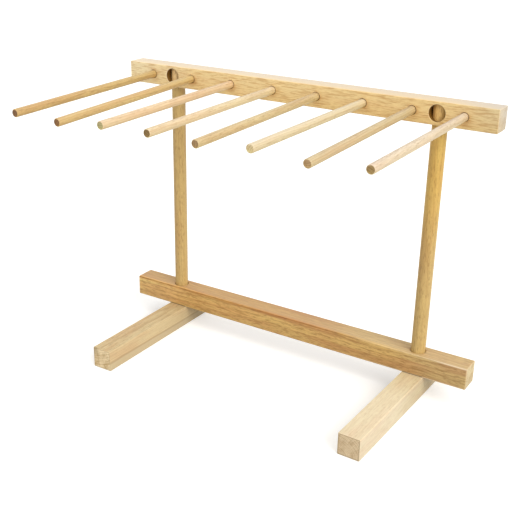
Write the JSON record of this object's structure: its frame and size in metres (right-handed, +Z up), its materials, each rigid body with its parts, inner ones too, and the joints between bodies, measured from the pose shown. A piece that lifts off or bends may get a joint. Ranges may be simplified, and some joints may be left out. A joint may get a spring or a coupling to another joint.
{
  "type": "pasta drying rack",
  "caption": "Countertop wooden pasta drying rack: round rods reach forward from a square rail that two posts hold over a footed stand; rail and rods pull apart for storage.",
  "frame": {"origin": "on the table under the middle of the rack's box, midway between the rail's ends and between the rods' tips and the feet's heels", "axes": "+X along the rail, from the left post to the right one; the rods reach towards -Y; +Z up, with the feet standing on Z = 0"},
  "size_m": [0.4214, 0.2688, 0.3095],
  "materials": {
    "rail_beech": "planed and sanded, unfinished",
    "base_rail_beech": "planed and sanded, unfinished",
    "foot_beech": "planed and sanded, unfinished",
    "post_beech": "turned and sanded, unfinished",
    "rod_beech": "turned and sanded, unfinished",
    "pin_beech": "turned, unfinished",
    "screw_steel": "zinc-plated"
  },
  "bodies": {
    "stand": {"base_rail": "base_rail_beech", "left_foot": "foot_beech", "right_foot": "foot_beech", "left_post": "post_beech", "right_post": "post_beech", "left_post_screw": "screw_steel", "right_post_screw": "screw_steel", "left_foot_pin": "pin_beech", "right_foot_pin": "pin_beech"},
    "rail": {"top_rail": "rail_beech"},
    "rod_1": {"drying_rod_1": "rod_beech"},
    "rod_2": {"drying_rod_2": "rod_beech"},
    "rod_3": {"drying_rod_3": "rod_beech"},
    "rod_4": {"drying_rod_4": "rod_beech"},
    "rod_5": {"drying_rod_5": "rod_beech"},
    "rod_6": {"drying_rod_6": "rod_beech"},
    "rod_7": {"drying_rod_7": "rod_beech"},
    "rod_8": {"drying_rod_8": "rod_beech"}
  },
  "joints": [
    {"name": "rail_lift", "type": "slide", "parent": "stand", "child": "rail", "axis": [0, 0, 1], "range_m": [0, 0.03]},
    {"name": "rod_1_pull", "type": "slide", "parent": "rail", "child": "rod_1", "axis": [0, -0.9997, -0.0244], "range_m": [0, 0.03]},
    {"name": "rod_2_pull", "type": "slide", "parent": "rail", "child": "rod_2", "axis": [0.0087, -0.9995, -0.0314], "range_m": [0, 0.03]},
    {"name": "rod_3_pull", "type": "slide", "parent": "rail", "child": "rod_3", "axis": [0.0122, -0.9999, -0.0087], "range_m": [0, 0.03]},
    {"name": "rod_4_pull", "type": "slide", "parent": "rail", "child": "rod_4", "axis": [0.0157, -0.9999, -0.0052], "range_m": [0, 0.03]},
    {"name": "rod_5_pull", "type": "slide", "parent": "rail", "child": "rod_5", "axis": [0.0105, -0.9999, -0.0122], "range_m": [0, 0.03]},
    {"name": "rod_6_pull", "type": "slide", "parent": "rail", "child": "rod_6", "axis": [0.0192, -0.9998, 0.0087], "range_m": [0, 0.03]},
    {"name": "rod_7_pull", "type": "slide", "parent": "rail", "child": "rod_7", "axis": [0.0209, -0.9997, -0.0087], "range_m": [0, 0.03]},
    {"name": "rod_8_pull", "type": "slide", "parent": "rail", "child": "rod_8", "axis": [0.0262, -0.9996, 0.0122], "range_m": [0, 0.03]}
  ]
}
